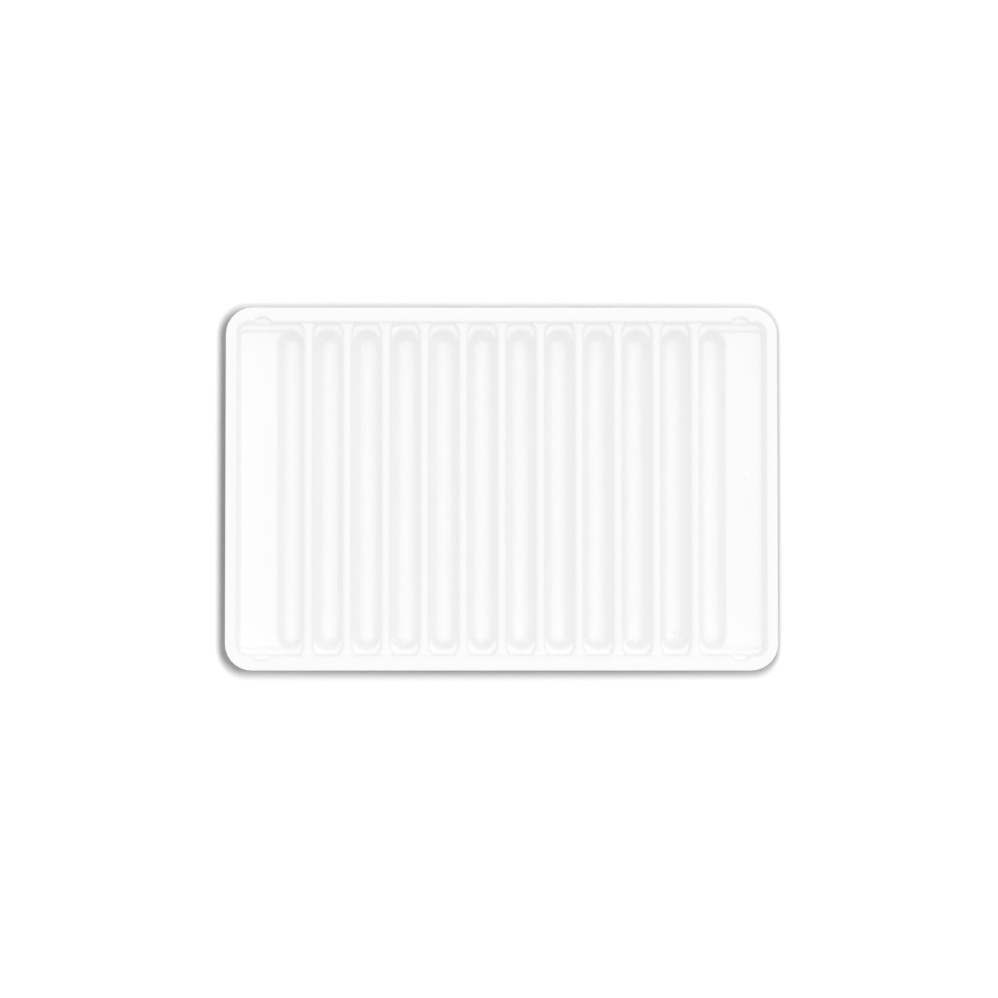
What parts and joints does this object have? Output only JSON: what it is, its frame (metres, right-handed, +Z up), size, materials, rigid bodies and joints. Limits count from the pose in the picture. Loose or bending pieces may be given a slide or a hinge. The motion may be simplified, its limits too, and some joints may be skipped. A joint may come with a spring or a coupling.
{
  "type": "reagent reservoir",
  "caption": "Shallow white tray formed from one thin sheet, with parallel round-bottomed troughs between narrow ridges, a flat shelf at each end and a flat rim round the top.",
  "frame": {"origin": "centre of the footprint, on the plane that the trough floors rest on", "axes": "+X along the tray's long side, across the troughs; +Y along the troughs; +Z up, out of the troughs"},
  "size_m": [0.128, 0.0842, 0.0148],
  "materials": {
    "tray": "semi-gloss formed sheet"
  },
  "bodies": {
    "root": {"tray": "tray"}
  },
  "joints": []
}
